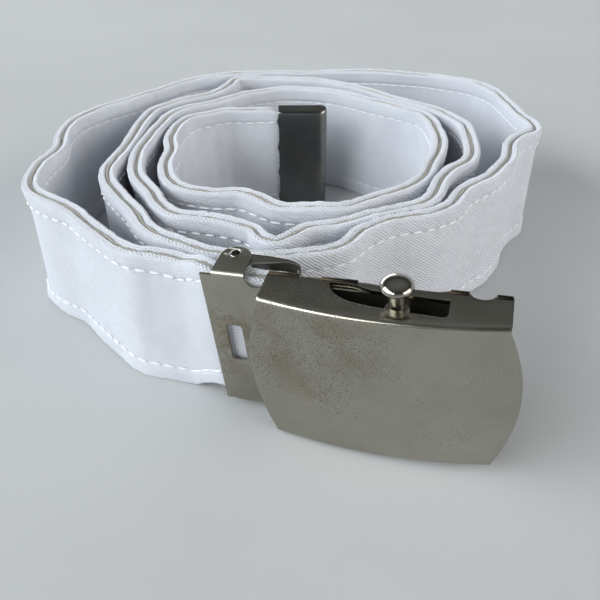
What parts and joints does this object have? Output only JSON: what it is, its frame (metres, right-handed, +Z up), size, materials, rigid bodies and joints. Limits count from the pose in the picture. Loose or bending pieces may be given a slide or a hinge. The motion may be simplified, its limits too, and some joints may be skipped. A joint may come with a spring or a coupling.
{
  "type": "web belt with friction buckle",
  "caption": "Woven web belt standing coiled on its edge, with a bowed box-frame friction buckle, a toothed clamp, a sliding lock bar with a knob, and a sheet-metal end tip.",
  "frame": {"origin": "middle of the bounding box in plan, on the surface the coil stands on", "axes": "+Z up along the strap's width, +Y from the buckle to the back of the coil, +X to the buckle's free end"},
  "size_m": [0.1356, 0.1602, 0.0426],
  "materials": {
    "white_twill": "matte cotton twill",
    "interlining_cream": "matte",
    "tip_nickel": "dark worn nickel plate",
    "aged_nickel": "tarnished nickel plate",
    "polished_nickel": "worn polish"
  },
  "bodies": {
    "strap": {"outer_ply": "white_twill", "interlining": "interlining_cream", "inner_ply": "white_twill", "end_tip": "tip_nickel"},
    "buckle": {"buckle_shell": "aged_nickel", "hinge_plate": "aged_nickel", "clamp_pin": "aged_nickel"},
    "clamp": {"clamp": "aged_nickel"},
    "lock": {"lock_bar": "aged_nickel", "lock_knob": "polished_nickel"}
  },
  "joints": [
    {"name": "buckle_pull_off", "type": "slide", "parent": "strap", "child": "buckle", "axis": [0.9603, -0.2754, 0.0436], "range_m": [0, 0.02]},
    {"name": "clamp_hinge", "type": "hinge", "parent": "buckle", "child": "clamp", "pos_m": [-0.01015, -0.05297, 0.01948], "axis": [-0.0813, -0.1269, 0.9886], "range_deg": [0, 24]},
    {"name": "lock_slide", "type": "slide", "parent": "buckle", "child": "lock", "axis": [-0.929, 0.3688, -0.0291], "range_m": [-0.0055, 0.0075]}
  ]
}
